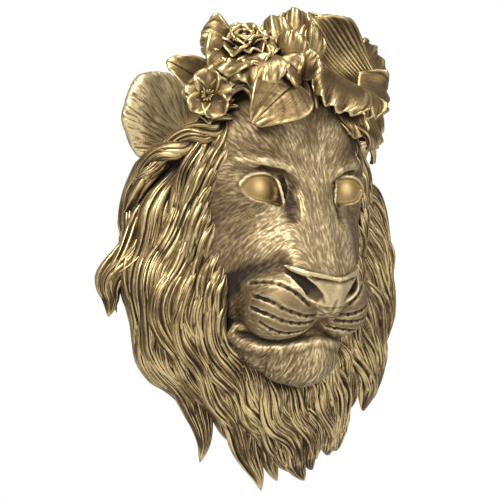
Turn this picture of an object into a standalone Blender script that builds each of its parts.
"""Lion head wall mask with a crown of flowers: one hollow-backed casting.

Shapes are worked out in millimetres as x across, depth out from the wall and
height above the eye line, and placed in metres with the wall at y = 0.
"""
import math

import bpy
import numpy as np
import openvdb
from mathutils import Euler

EYE_LINE_BELOW_MOUNT = 60.0
GRAIN = 2.0
WALL_THICKNESS = 6.5
THINNEST_WALL = 7.0
HOLLOW_TOP = 34.0
CLAY_LOW = (-176.0, -10.0, -292.0)
CLAY_HIGH = (180.0, 160.0, 176.0)
JOIN_GRAIN = 0.0018
TRIANGLES = 9600
FACE_THINNING = 0.85

EYE_CENTRE = (48.0, 77.0, -4.0)
EYE_RADIUS = 22.0
EAR_CENTRE = (102.0, 30.0, 54.0)
EAR_RADII = (35.0, 15.0, 41.0)
BRAID_RADIUS = 6.5
HEAD_MIDDLE = (0.0, -20.0, -55.0)
HEAD_REACH = np.array((134.0, 66.0, 160.0))
WAVE_HEIGHT, WAVE_RUN, WAVE_STEP = 3.2, 15.5, 0.55
PETAL_THICKNESS = 4.6

# the broad locks of the mane: width, then the centre line from root to tip
RIGHT_LOCKS = [
    (26, [(-94, 46, 24), (-101, 36, -4), (-112, 28, -32), (-128, 22, -55), (-137, 17, -78),
          (-137, 13, -97), (-137, 10, -109)]),
    (30, [(-88, 54, 28), (-95, 44, 0), (-108, 36, -40), (-112, 30, -87), (-108, 27, -124),
          (-92, 24, -153), (-70, 20, -178), (-59, 14, -199)]),
    (31, [(-80, 62, 30), (-86, 52, 0), (-98, 46, -43), (-106, 42, -88), (-95, 38, -135),
          (-70, 31, -173), (-53, 24, -206), (-50, 16, -238)]),
    (29, [(-74, 66, 26), (-78, 58, -4), (-88, 54, -43), (-94, 52, -88), (-83, 48, -130),
          (-59, 42, -170), (-37, 32, -198), (-24, 22, -219)]),
    (29, [(-66, 74, 14), (-74, 68, -20), (-78, 65, -63), (-80, 60, -101), (-67, 56, -139),
          (-40, 48, -182), (-14, 36, -221), (11, 20, -270)]),
    (28, [(-68, 72, -22), (-70, 69, -60), (-68, 66, -97), (-56, 62, -135), (-27, 54, -179),
          (3, 40, -220), (24, 24, -261)]),
]
BEARD_LOCKS = [
    (25, [(-51, 66, -128), (-38, 63, -158), (-11, 53, -195), (20, 38, -230), (41, 26, -257)]),
    (25, [(-27, 74, -152), (-6, 63, -191), (25, 46, -224), (57, 24, -266)]),
    (24, [(1, 76, -158), (22, 63, -196), (46, 46, -228), (65, 28, -255)]),
    (24, [(32, 74, -158), (49, 62, -195), (70, 46, -219), (87, 28, -241)]),
    (30, [(44, 73, -138), (56, 66, -170), (74, 52, -206), (92, 30, -240)]),
]
LEFT_LOCKS = [
    (25, [(58, 62, -128), (71, 60, -162), (80, 48, -199), (90, 28, -240)]),
    (27, [(70, 64, -96), (84, 62, -127), (100, 56, -150), (116, 44, -179), (127, 28, -206)]),
    (28, [(74, 62, -50), (92, 60, -84), (112, 52, -118), (132, 42, -150), (143, 26, -194)]),
    (30, [(80, 56, -8), (104, 54, -37), (128, 46, -66), (148, 36, -100), (154, 20, -158)]),
    (30, [(88, 50, 12), (112, 44, -12), (138, 36, -40), (156, 26, -74), (158, 14, -128)]),
    (22, [(98, 40, 14), (126, 30, 0), (146, 24, -24), (158, 18, -52), (160, 10, -86)]),
]
CREST_LOCKS = [
    (22, [(-66, 80, 60), (-70, 76, 34), (-76, 68, 6), (-80, 62, -24), (-86, 58, -60)]),
    (22, [(-78, 70, 56), (-84, 64, 24), (-94, 54, -8), (-102, 46, -44)]),
    (22, [(66, 80, 60), (70, 76, 34), (78, 68, 6), (88, 60, -24), (98, 54, -56)]),
    (24, [(78, 70, 56), (90, 60, 26), (108, 48, 0), (124, 40, -34)]),
]
BRAID = [(-60, 80, 64), (-77, 72, 49), (-93, 62, 38), (-109, 50, 26), (-121, 38, 13), (-128, 28, -2)]
LOOSE_END = [(-104, 50, 28), (-116, 36, 10), (-124, 25, -7), (-128, 15, -25)]
# single petals laid by hand: root, tip, the way the upper side looks, width, arch, cup, ruffle, waves, ribs
LEFT_PETALS = [
    ((-50, 78, 112), (-36, 100, 104), (-0.3, 0.7, 0.7), 46, 0.20, 0.2, 3.0, 2.6, 0.3),
    ((-42, 84, 112), (-54, 104, 79), (-0.6, 0.8, 0.5), 50, 0.25, 0.3, 3.0, 1.6, 0.2),
    ((-52, 76, 114), (-86, 76, 95), (-0.5, 0.8, 0.5), 40, 0.25, 0.7, 2.5, 1.4, 0.2),
    ((-54, 70, 118), (-79, 56, 122), (-0.6, 0.6, 0.4), 36, 0.2, 0.8, 2.5, 1.4, 0.2),
]
TALL_PETALS = [
    ((-10, 88, 98), (-16, 78, 149), (-0.5, 0.9, 0.0), 34, 0.10, -0.7, 2.5, 2.0, 0.4),
    ((-4, 88, 98), (8, 78, 156), (-0.7, 0.7, 0.0), 32, 0.12, 0.8, 2.5, 1.8, 0.4),
    ((-14, 96, 98), (-16, 104, 131), (-0.7, 0.7, 0.1), 26, 0.15, -0.6, 2.0, 1.6, 0.3),
    ((2, 90, 100), (12, 92, 140), (-0.5, 0.8, 0.1), 30, 0.12, -0.6, 2.5, 2.0, 0.4),
]
FRONT_PETALS = [
    ((66, 92, 82), (8, 103, 126), (-0.35, 0.85, 0.15), 56, -0.16, 1.5, 1.6, 1.5, 0.7),
    ((32, 98, 92), (4, 114, 56), (-0.4, 0.9, 0.25), 46, 0.16, 0.2, 4.2, 2.4, 0.25),
    ((44, 96, 90), (30, 116, 56), (-0.1, 1.0, 0.3), 40, 0.16, 0.2, 4.2, 2.2, 0.25),
    ((50, 98, 90), (96, 90, 76), (0.2, 1.0, 0.2), 38, 0.20, 0.4, 4.0, 2.0, 0.25),
    ((50, 88, 108), (26, 84, 146), (-0.3, 0.9, 0.3), 36, 0.15, -0.4, 3.0, 2.4, 0.4),
    ((54, 86, 108), (60, 78, 153), (-0.2, 0.9, 0.3), 36, 0.15, -0.4, 3.0, 2.4, 0.4),
    ((60, 84, 106), (92, 72, 145), (0.0, 0.9, 0.4), 38, 0.15, -0.3, 3.0, 2.4, 0.4),
    ((62, 82, 100), (112, 68, 124), (0.2, 0.9, 0.3), 38, 0.15, -0.3, 3.0, 2.4, 0.4),
    ((44, 94, 72), (93, 84, 38), (0.2, 0.9, 0.1), 38, 0.20, 0.3, 4.0, 2.2, 0.25),
    ((40, 92, 76), (62, 100, 44), (0.0, 1.0, 0.1), 34, 0.18, 0.2, 3.6, 2.0, 0.25),
]


# the mounds of clay under the flowers: centre and radii
FLOWER_BEDS = [
    ((-46, 68, 110), (26, 24, 24)),
    ((46, 82, 96), (28, 24, 28)),
    ((10, 60, 116), (24, 24, 22)),
    ((-10, 82, 92), (22, 18, 18)),
    ((30, 84, 84), (26, 18, 20)),
]


class Clay:
    """A block of clay held as the distance to its surface at every point of a grid."""

    def __init__(self, low, high, grain):
        self.low = np.array(low, float)
        self.grain = grain
        self.count = np.ceil((np.array(high, float) - self.low) / grain).astype(int) + 1
        self.field = np.full(self.count, 1000.0, np.float32)

    def window(self, centre, reach):
        first = np.floor((centre - reach - self.low) / self.grain).astype(int)
        last = np.ceil((centre + reach - self.low) / self.grain).astype(int) + 1
        first = np.clip(first, 0, self.count)
        last = np.clip(last, 0, self.count)
        part = tuple(slice(a, b) for a, b in zip(first, last))
        axes = [self.low[i] + np.arange(first[i], last[i]) * self.grain for i in range(3)]
        axes = [axis.astype(np.float32) for axis in axes]
        return part, np.meshgrid(*axes, indexing="ij", sparse=True)

    def blend_in(self, part, distance, blend, cut):
        old = self.field[part]
        if cut:
            overlap = np.maximum(blend - np.abs(old + distance), 0) / blend
            self.field[part] = np.maximum(old, -distance) + overlap * overlap * blend / 4
        else:
            overlap = np.maximum(blend - np.abs(old - distance), 0) / blend
            self.field[part] = np.minimum(old, distance) - overlap * overlap * blend / 4

    def ball(self, centre, radii, turn=(0, 0, 0), blend=10, cut=False, pair=False):
        """An ellipsoid, turned by degrees about x, depth and height."""
        for side in (1, -1) if pair else (1,):
            c = np.array(centre, float) * (side, 1, 1)
            t = (math.radians(turn[0]), math.radians(turn[1] * side), math.radians(turn[2] * side))
            spin = np.array(Euler(t).to_matrix())
            reach = np.sqrt(((spin * np.array(radii)) ** 2).sum(1)) + blend + 2 * self.grain
            part, grid = self.window(c, reach)
            local = [sum(spin[j, i] * (grid[j] - c[j]) for j in range(3)) for i in range(3)]
            k0 = np.sqrt(sum((local[i] / radii[i]) ** 2 for i in range(3)))
            k1 = np.sqrt(sum((local[i] / radii[i] ** 2) ** 2 for i in range(3)))
            self.blend_in(part, k0 * (k0 - 1) / np.maximum(k1, 1e-6), blend, cut)

    def roll(self, points, radii, blend=4, cut=False, pair=False):
        """A sausage of clay through points, with a radius at each."""
        for side in (1, -1) if pair else (1,):
            pts = np.array(points, float) * (side, 1, 1)
            low, high = pts.min(0), pts.max(0)
            reach = (high - low) / 2 + max(radii) + blend + 2 * self.grain
            part, grid = self.window((low + high) / 2, reach)
            best = None
            for a, b, ra, rb in zip(pts[:-1], pts[1:], radii[:-1], radii[1:]):
                ab = b - a
                along = sum(ab[i] * (grid[i] - a[i]) for i in range(3)) / (ab @ ab)
                along = np.clip(along, 0, 1)
                gap = np.sqrt(sum((grid[i] - a[i] - along * ab[i]) ** 2 for i in range(3)))
                distance = gap - (ra + along * (rb - ra))
                best = distance if best is None else np.minimum(best, distance)
            self.blend_in(part, best, blend, cut)

    def surface(self):
        grid = openvdb.FloatGrid()
        grid.background = 1000.0
        grid.copyFromArray(self.field)
        points, quads = grid.convertToQuads(0.0)
        return points * self.grain + self.low, quads


def smooth_path(points, count):
    """A Catmull-Rom curve through points, cut into even steps."""
    p = np.array(points, float)
    p = np.vstack([2 * p[0] - p[1], p, 2 * p[-1] - p[-2]])
    out = []
    for i in range(1, len(p) - 2):
        a, b, c, d = p[i - 1:i + 3]
        for t in np.linspace(0, 1, 20, endpoint=False):
            cubic = (2 * a - 5 * b + 4 * c - d) * t ** 2 + (3 * b - a - 3 * c + d) * t ** 3
            out.append((2 * b + (c - a) * t + cubic) / 2)
    out = np.array(out + [p[-2]])
    run = np.r_[0, np.cumsum(np.linalg.norm(np.diff(out, axis=0), axis=1))]
    at = np.linspace(0, run[-1], count)
    return np.stack([np.interp(at, run, out[:, i]) for i in range(3)], 1)


def on_eye(turns, lifts, out):
    """Points on the eyeball, turns outward and lifts upward in degrees."""
    a = np.radians(turns)
    e = np.radians(lifts)
    r = EYE_RADIUS + out
    x = EYE_CENTRE[0] + r * np.sin(a) * np.cos(e)
    d = EYE_CENTRE[1] + r * np.cos(a) * np.cos(e)
    h = EYE_CENTRE[2] + r * np.sin(e)
    return smooth_path(np.stack([x, d, h], 1), 12)


def skull(clay):
    clay.ball((0, 0, -45), (124, 56, 128), blend=1)
    clay.ball((0, 38, 15), (92, 58, 78), blend=30)
    clay.ball((12, 8, -132), (88, 48, 84), blend=20)


def forehead(clay):
    clay.ball((0, 62, 38), (70, 44, 46), blend=25)
    clay.ball((22, 86, 34), (25, 23, 30), turn=(0, 12, 12), blend=12, pair=True)
    brow = [(14, 103, 7), (28, 106, 12), (44, 101, 17), (60, 88, 18), (76, 69, 10)]
    clay.roll(brow, [8, 8, 8, 7.5, 7], blend=9, pair=True)
    parting = [(0, 108, 62), (0, 112, 36), (0, 116, 8), (0, 119, -14)]
    clay.roll(parting, [2, 3, 3, 1], blend=9, cut=True)


def nose(clay):
    sides = [(13, 90, 20), (16, 99, -10), (20, 109, -45), (22, 118, -72)]
    clay.roll(sides, [14, 13, 13, 13], blend=12, pair=True)
    clay.roll([(0, 94, 20), (0, 101, -10), (0, 110, -40), (0, 119, -74)], [13, 15, 16, 17], blend=14)
    clay.roll([(28, 86, -26), (32, 90, -48), (34, 92, -70)], [17, 19, 19], blend=22, pair=True)


def cheeks_and_muzzle(clay):
    clay.ball((46, 48, -50), (44, 44, 66), blend=22, pair=True)
    clay.roll([(38, 84, -28), (56, 79, -25), (76, 64, -10)], [8, 9, 9], blend=16, pair=True)
    clay.ball((0, 84, -92), (52, 36, 38), blend=22)
    clay.ball((28, 100, -102), (33, 30, 28), turn=(-4, 12, -18), blend=6, pair=True)
    clay.ball((28, 104, -90), (24, 23, 17), turn=(0, 0, -10), blend=10, pair=True)
    clay.roll([(-21, 124, -84), (0, 129, -85), (21, 124, -84)], [12, 14, 12], blend=6)
    clay.ball((0, 122, -96), (18, 16, 15), turn=(10, 0, 0), blend=8)
    clay.ball((0, 48, -130), (54, 40, 42), blend=20)
    jaw = [(0, 92, -145), (16, 88, -145), (32, 77, -141), (44, 66, -134), (50, 58, -127)]
    clay.roll(jaw, [25, 22, 15, 11, 8], blend=6, pair=True)


def eyes(clay):
    clay.ball((48, 102, -4), (21, 12, 12), turn=(0, -8, -24), blend=6, cut=True, pair=True)
    clay.roll([(24, 112, -1), (34, 109, 5), (48, 102, 10)], [4, 5.5, 4], blend=6, cut=True, pair=True)
    clay.roll([(29, 106, -11), (26, 110, -19), (26, 115, -34)], [4, 4, 1.5], blend=14, cut=True, pair=True)
    clay.ball((68, 77, 1), (10, 10, 14), blend=9, pair=True)
    lower = on_eye([50, 40, 24, 5, -15, -35, -52], [0, -13, -25, -31, -34, -36, -38], -0.5)
    upper = on_eye([50, 40, 24, 5, -15, -35, -55], [8, 21, 31, 34, 33, 28, 14], 0.5)
    clay.ball(EYE_CENTRE, (EYE_RADIUS,) * 3, blend=1, pair=True)
    clay.roll(lower, [3.2] * 12, blend=4, pair=True)
    clay.roll(upper, [3.4] * 12, blend=4, pair=True)


def nostrils_and_mouth(clay):
    edge = [(38, 118, -69), (26, 133, -75), (17, 138, -77), (0, 143, -80)]
    clay.roll(edge, [1.6, 2.6, 2.6, 2.4], blend=3, pair=True)
    comma = [(38, 118, -71), (33, 124, -77), (28, 130, -83), (21, 135, -91), (14, 138, -98)]
    clay.roll(comma, [1.4, 3, 5.2, 6.2, 3.6], blend=3, cut=True, pair=True)
    slit = [(0, 125, -125), (14, 121, -128), (27, 111, -131), (40, 95, -131), (50, 77, -126)]
    clay.roll(slit, [4, 3.6, 3.2, 2.8, 2.4], blend=3, cut=True, pair=True)
    clay.roll([(0, 141, -100), (0, 132, -113), (0, 128, -126)], [2, 2.4, 4.5], blend=3, cut=True)
    lip = [(0, 113, -132), (14, 111, -134), (28, 101, -137), (40, 88, -137), (50, 75, -132), (55, 69, -126),
           (53, 71, -120), (44, 82, -119)]
    clay.roll(lip, [4, 4.4, 4.8, 5.4, 6, 5.4, 4.6, 3], blend=3, pair=True)


def ears(clay):
    x, d, h = EAR_CENTRE
    w, t, l = EAR_RADII
    clay.ball((x - 4, d - 10, h), (w - 4, t + 2, l - 5), blend=6, pair=True)
    clay.ball(EAR_CENTRE, (w + 1, t - 5, l + 1), turn=(0, 4, 0), blend=5, pair=True)
    clay.ball((x - 3, d + 12, h - 2), (w - 3.5, 9, l - 4), blend=3, cut=True, pair=True)


def unit(v):
    return v / np.maximum(np.linalg.norm(v, axis=-1, keepdims=True), 1e-9)


def lock(clay, line, width, row, lifts, last=1.0):
    """A broad waved lock: strands laid side by side that gather to one tip."""
    path = smooth_path(line, 30)[:round(30 * last)]
    u = np.linspace(0, 1, len(path))
    run = np.r_[0, np.cumsum(np.linalg.norm(np.diff(path, axis=0), axis=1))]
    side = unit(np.cross(unit(np.gradient(path, axis=0)), unit((path - HEAD_MIDDLE) / HEAD_REACH ** 2)))
    outward = np.cross(side, unit(np.gradient(path, axis=0)))
    wave = WAVE_HEIGHT * np.sin(run / WAVE_RUN + WAVE_STEP * row) * np.clip(3 * u, 0, 1)
    body = np.minimum(1, 0.5 + 3 * u) * np.clip((1 - u) * 4, 0.12, 1) ** 0.7
    for k, lift in enumerate(lifts):
        spread = (2 * k / (len(lifts) - 1) - 1) if len(lifts) > 1 else 0.0
        radius = width / (len(lifts) + 0.7) * 0.72
        across = spread * (width / 2 - radius) * body + wave
        strand = path + side * across[:, None] + outward * (lift * body)[:, None]
        clay.roll(strand, list(np.maximum(radius * body, 2.2)), blend=1.0)


def mane(clay):
    for rows in (RIGHT_LOCKS, BEARD_LOCKS, LEFT_LOCKS):
        for i, (width, line) in enumerate(rows):
            if i + 1 < len(rows):
                between = (smooth_path(line, 12) + smooth_path(rows[i + 1][1], 12)) / 2
                lock(clay, between, width * 0.8, i + 0.5, (-3, -3), 0.86)
        for i, (width, line) in enumerate(rows):
            lock(clay, line, width, i, (1.5, 4.5, 2.5))
    for i, (width, line) in enumerate(CREST_LOCKS):
        lock(clay, line, width, i, (0, 2))


def plait(clay):
    """Strands laid round each other, and the loose end that hangs from them."""
    path = smooth_path(BRAID, 30)
    u = np.linspace(0, 1, 30)
    for phase in (0, 2 * math.pi / 3, 4 * math.pi / 3):
        turn = u * 3.4 * math.pi + phase
        round_path = np.stack([0 * u, 5.5 * np.cos(turn), 6.5 * np.sin(turn)], 1) * (1.1 - 0.4 * u)[:, None]
        clay.roll(path + round_path, [BRAID_RADIUS] * 30, blend=1.2)
    loose = smooth_path(LOOSE_END, 12)
    clay.roll(loose, list(np.linspace(8, 5, 12)), blend=2)
    clay.roll(loose + (4, 4, 5), list(np.linspace(5, 4, 12)), blend=1)


def garland_base(clay):
    """The band that the flowers sit on, and the back of the crown down to the wall."""
    band = smooth_path([(-92, 46, 70), (-52, 56, 98), (0, 66, 108), (52, 60, 100), (92, 46, 70)], 16)
    clay.roll(band, [15] * 16, blend=8)
    clay.ball((0, 0, 66), (90, 48, 50), blend=10)
    for place, radii in FLOWER_BEDS:
        clay.ball(place, radii, blend=8)


def hollow(clay):
    """The inside of the casting: a smooth copy of the head, one wall thickness smaller, open at the back."""
    inside = Clay(CLAY_LOW, CLAY_HIGH, GRAIN)
    skull(inside)
    forehead(inside)
    nose(inside)
    cheeks_and_muzzle(inside)
    inside.ball((44, 98, -6), (26, 24, 24), blend=20, cut=True, pair=True)
    height = inside.low[2] + np.arange(inside.count[2]) * inside.grain
    shrunk = np.maximum(inside.field + WALL_THICKNESS, (height - HOLLOW_TOP)[None, None, :])
    shrunk = np.maximum(shrunk, clay.field + THINNEST_WALL)
    clay.blend_in((slice(None),) * 3, shrunk, 2.0, True)


def sheet(grid, thick):
    """A closed slab along a grid of points, thinner at its edges."""
    m, n = grid.shape[:2]
    normal = np.cross(np.gradient(grid, axis=0), np.gradient(grid, axis=1))
    normal /= np.maximum(np.linalg.norm(normal, axis=2, keepdims=True), 1e-9)
    inner = np.zeros((m, n, 1), bool)
    inner[1:-1, 1:-1] = True
    half = thick / 2 * np.where(inner, 1.0, 0.6)
    points = np.concatenate([(grid + normal * half).reshape(-1, 3), (grid - normal * half).reshape(-1, 3)])
    at = np.arange(m * n).reshape(m, n)
    top = np.stack([at[:-1, :-1].ravel(), at[1:, :-1].ravel(), at[1:, 1:].ravel(), at[:-1, 1:].ravel()], 1)
    rim = np.concatenate([at[:, 0], at[-1, 1:], at[::-1, -1][1:], at[0, ::-1][1:-1]])
    after = np.roll(rim, -1)
    side = np.stack([after, rim, rim + m * n, after + m * n], 1)
    return points, np.concatenate([top, top[:, ::-1] + m * n, side])


def petal(length, width, start, end, root, cup, ruffle, waves, phase, lift=0.0, steps=(7, 9)):
    """A petal from the flower's axis, leaning from start to end degrees off that axis."""
    s = np.linspace(0, 1, steps[0])
    t = np.linspace(-1, 1, steps[1])
    lean = np.radians(start + (end - start) * s ** 0.8)
    step = length / (steps[0] - 1)
    r = root + np.r_[0, np.cumsum(np.sin(lean[1:]) * step)]
    z = lift + np.r_[0, np.cumsum(np.cos(lean[1:]) * step)]
    half = width / 2 * (0.30 + 0.70 * np.sin(np.pi * (0.10 + 0.66 * s)) ** 0.9)
    bend = (np.maximum(r, width * 0.5) * (1.6 - cup))[:, None]
    sine, cosine = np.sin(lean)[:, None], np.cos(lean)[:, None]
    S, T = np.meshgrid(s, t, indexing="ij")
    angle = T * half[:, None] / bend
    back = S ** 3 * np.abs(T) ** 2.5 * length * 0.30
    frill = ruffle * S ** 2 * np.sin(waves * np.pi * T + phase)
    x = bend * np.sin(angle)
    y = r[:, None] - bend * (1 - np.cos(angle)) * np.abs(cosine) - back * sine - frill * cosine
    up = z[:, None] + bend * (1 - np.cos(angle)) * sine - back * cosine + frill * sine
    return np.stack([x, y, up], 2)


def facing_frame(facing):
    z = np.array(facing, float)
    z /= np.linalg.norm(z)
    x = np.cross((0.0, 0.0, 1.0), z)
    x /= np.linalg.norm(x)
    return np.stack([x, np.cross(z, x), z])


def about_axis(grid, degrees):
    c, s = math.cos(math.radians(degrees)), math.sin(math.radians(degrees))
    return grid @ np.array([[c, s, 0], [-s, c, 0], [0, 0, 1]])


PEONY_RINGS = (
    # petals, length, width, lean at root, lean at tip, root, lift, ruffle
    (5, 0.88, 1.15, 55, 96, 0.16, -0.16, 0.10),
    (4, 0.76, 1.05, 28, 70, 0.12, -0.08, 0.08),
    (3, 0.56, 0.90, 0, 24, 0.16, 0.02, 0.05),
)


def peony(centre, facing, radius, seed, rings=PEONY_RINGS):
    random = np.random.default_rng(seed)
    axes = facing_frame(facing)
    petals = []
    for k, (count, length, width, start, end, root, lift, ruffle) in enumerate(rings):
        for i in range(count):
            size = radius * random.uniform(0.92, 1.08)
            lean = start + random.uniform(-6, 6), end + random.uniform(-8, 8)
            one = petal(length * size, width * size, *lean, root * radius, random.uniform(0.6, 0.95),
                        ruffle * size * random.uniform(0.8, 1.3), random.uniform(2.0, 3.2),
                        random.uniform(0, 6.3), lift * radius)
            turn = 360 / count * (i + 0.5 * (k % 2)) + random.uniform(-9, 9)
            petals.append(sheet(about_axis(one, turn) @ axes + np.array(centre, float), PETAL_THICKNESS))
    return petals


def blossom(centre, facing, radius):
    axes = facing_frame(facing)
    petals = []
    for i in range(5):
        one = petal(radius * 0.92, radius, 58, 98, 0.1 * radius, 0.6, 0.05 * radius, 1.2, i, 0, (5, 7))
        petals.append(sheet(about_axis(one, 72 * i) @ axes + np.array(centre, float), PETAL_THICKNESS * 0.9))
    return petals


def laid(root, tip, face, width, arch=0.12, fold=0.25, cup=0.0, ruffle=0.0, waves=2.5, phase=0.0,
         pointed=1.0, steps=(9, 9)):
    """A petal or leaf laid from its root to its tip, its upper side looking to face."""
    root, tip = np.array(root, float), np.array(tip, float)
    length = np.linalg.norm(tip - root)
    u = (tip - root) / length
    n = np.array(face, float)
    n = unit(n - (n @ u) * u)
    s, t = np.meshgrid(np.linspace(0, 1, steps[0]), np.linspace(-1, 1, steps[1]), indexing="ij")
    leafy = np.clip(np.sin(np.pi * s ** 0.75), 0, 1) ** 0.8 * (1 - 0.25 * s)
    broad = (0.34 + 0.66 * np.sin(np.pi * (0.08 + 0.62 * s))) * np.sqrt(1 - 0.1 * s)
    across = t * (width / 2 * (pointed * leafy + (1 - pointed) * broad) + 1)
    margin = np.maximum(s ** 3, t ** 4) * np.sin(np.pi * np.clip(s, 0, 0.75) / 1.5)
    wave = np.sin(waves * np.pi * t * (0.4 + 0.6 * s) + phase)
    up = arch * length * np.sin(np.pi * s * 0.9) + fold * np.abs(across) + cup * across ** 2 / width
    up = up + ruffle * margin * wave
    run = s * length - (1 - pointed) * s ** 3 * np.abs(t) ** 2.5 * length * 0.28
    grid = root + run[..., None] * u + across[..., None] * np.cross(u, n) + up[..., None] * n
    return sheet(grid, PETAL_THICKNESS)


def laid_petals(rows, seed):
    random = np.random.default_rng(seed)
    petals = []
    for root, tip, face, width, arch, cup, ruffle, waves, ribs in rows:
        phase = random.uniform(0, 6.3)
        petals.append(laid(root, tip, face, width, arch, 0.0, cup, ruffle, waves, phase, 0.0))
    return petals


def crown():
    sheets = peony((-48, 76, 112), (-0.35, 0.5, 0.8), 34, 3) + laid_petals(LEFT_PETALS, 1)
    sheets += laid_petals(FRONT_PETALS, 2) + peony((54, 84, 100), (0.25, 0.6, 0.6), 36, 5, PEONY_RINGS[1:])
    sheets += peony((8, 62, 112), (0.05, 0.4, 0.9), 36, 8)
    sheets += peony((92, 58, 72), (0.85, 0.5, 0.3), 32, 11) + laid_petals(TALL_PETALS, 3)
    sheets += blossom((-87, 78, 71), (-0.6, 0.8, 0.15), 24)
    sheets.append(laid((-74, 64, 80), (-114, 54, 101), (-0.4, 0.9, 0.2), 30))
    sheets.append(laid((-12, 104, 88), (-62, 104, 46), (-0.35, 0.9, 0.3), 50, arch=0.16))
    sheets.append(laid((-4, 100, 90), (-30, 98, 103), (-0.4, 0.8, 0.5), 26, arch=0.3))
    sheets.append(laid((-82, 66, 66), (-86, 80, 47), (-0.5, 0.9, 0.0), 20))
    sheets.append(laid((70, 84, 56), (94, 76, 22), (0.5, 0.8, 0.1), 26))
    return sheets


def in_place(points):
    """From x, depth and height in millimetres to the model's metres."""
    p = np.array(points, float)
    return np.stack([p[:, 0], -p[:, 1], p[:, 2] - EYE_LINE_BELOW_MOUNT], 1) / 1000


def mesh_from(name, pieces):
    points, faces, start = [], [], 0
    for p, f in pieces:
        points.append(in_place(p))
        faces.extend((np.array(f) + start).tolist())
        start += len(p)
    mesh = bpy.data.meshes.new(name)
    mesh.from_pydata(np.concatenate(points).tolist(), [], faces)
    return mesh


def outward(piece):
    """The piece with its faces turned to look outwards."""
    points, faces = piece
    p = np.array(points, float)
    f = np.array(faces)
    fans = [np.cross(p[f[:, k]], p[f[:, k + 1]]) for k in (1, 2)]
    volume = sum(np.einsum("ij,ij->i", p[f[:, 0]], fan).sum() for fan in fans)
    # the model's frame turns depth round, so a positive volume here is inside out there
    return (p, f[:, ::-1]) if volume > 0 else (p, f)


def largest_skin(mesh):
    """Leaves only the connected skin with the most faces, and so no sealed bubbles."""
    count = len(mesh.vertices)
    edges = np.empty(len(mesh.edges) * 2, np.int32)
    mesh.edges.foreach_get("vertices", edges)
    edges = edges.reshape(-1, 2)
    label = np.arange(count)
    while True:
        low = np.minimum(label[edges[:, 0]], label[edges[:, 1]])
        new = label.copy()
        np.minimum.at(new, edges[:, 0], low)
        np.minimum.at(new, edges[:, 1], low)
        new = new[new]
        if (new == label).all():
            break
        label = new
    keep = label == np.bincount(label).argmax()
    points = np.empty(count * 3, np.float32)
    mesh.vertices.foreach_get("co", points)
    index = np.cumsum(keep) - 1
    faces = [[int(index[v]) for v in p.vertices] for p in mesh.polygons if keep[p.vertices[0]]]
    clean = bpy.data.meshes.new(mesh.name)
    clean.from_pydata(points.reshape(-1, 3)[keep].tolist(), [], faces)
    return clean


def baked(obj):
    graph = bpy.context.evaluated_depsgraph_get()
    graph.update()
    return bpy.data.meshes.new_from_object(obj.evaluated_get(graph))


def gold():
    material = bpy.data.materials.new("antique_gold")
    material.use_nodes = True
    shader = material.node_tree.nodes["Principled BSDF"]
    shader.inputs["Base Color"].default_value = (0.36, 0.25, 0.09, 1)
    shader.inputs["Metallic"].default_value = 0.9
    shader.inputs["Roughness"].default_value = 0.42
    return material


def wall_cutter(collection):
    """A block filling the wall, that trims the back of the casting flat."""
    bpy.ops.mesh.primitive_cube_add(size=1, location=(0, 0.05, -0.1))
    cutter = bpy.context.object
    cutter.name = "wall_cutter"
    cutter.scale = (0.6, 0.1, 0.8)
    bpy.ops.object.transform_apply(location=False, rotation=False, scale=True)
    for other in cutter.users_collection:
        other.objects.unlink(cutter)
    collection.objects.link(cutter)
    cutter.hide_render = True
    cutter.display_type = "WIRE"
    return cutter


def detail_weights(mask):
    """How freely each place may be thinned: the face and the flowers keep more of their shape."""
    points = np.empty(len(mask.data.vertices) * 3, np.float32)
    mask.data.vertices.foreach_get("co", points)
    x, d, h = (points.reshape(-1, 3) * (1000, -1000, 1000) + (0, 0, EYE_LINE_BELOW_MOUNT)).T
    normals = np.empty(len(x) * 3, np.float32)
    mask.data.vertex_normals.foreach_get("vector", normals)
    outer = normals.reshape(-1, 3)[:, 1] < 0.3
    face = outer & (np.abs(x) < 74) & (d > 62) & (h > -172) & (h < 34)
    group = mask.vertex_groups.new(name="thin_here")
    group.add(np.flatnonzero(~face).tolist(), 1.0, "REPLACE")
    group.add(np.flatnonzero(face).tolist(), FACE_THINNING, "REPLACE")
    return group.name


def build():
    for obj in list(bpy.data.objects):
        bpy.data.objects.remove(obj)
    home = bpy.data.collections.new("lion_mask")
    cutters = bpy.data.collections.new("cutters")
    bpy.context.scene.collection.children.link(home)
    bpy.context.scene.collection.children.link(cutters)
    cutters.hide_render = True

    clay = Clay(CLAY_LOW, CLAY_HIGH, GRAIN)
    skull(clay)
    forehead(clay)
    nose(clay)
    cheeks_and_muzzle(clay)
    eyes(clay)
    nostrils_and_mouth(clay)
    ears(clay)
    mane(clay)
    plait(clay)
    garland_base(clay)
    hollow(clay)

    pieces = [outward(clay.surface())] + [outward(sheet_of) for sheet_of in crown()]
    mask = bpy.data.objects.new("lion_mask", mesh_from("clay", pieces))
    home.objects.link(mask)
    join = mask.modifiers.new("join", "REMESH")
    join.mode = "VOXEL"
    join.voxel_size = JOIN_GRAIN
    mask.data = largest_skin(baked(mask))
    mask.modifiers.clear()
    thin = mask.modifiers.new("thin", "DECIMATE")
    thin.vertex_group_factor = 1.0
    thin.ratio = TRIANGLES / (2.0 * len(mask.data.polygons))
    thin.vertex_group = detail_weights(mask)
    mask.data = largest_skin(baked(mask))
    mask.modifiers.clear()
    mask.vertex_groups.clear()
    mask.data.name = "lion_mask"
    mask.data.materials.append(gold())
    trim = mask.modifiers.new("trim", "BOOLEAN")
    trim.operation = "DIFFERENCE"
    trim.solver = "EXACT"
    trim.object = wall_cutter(cutters)


build()
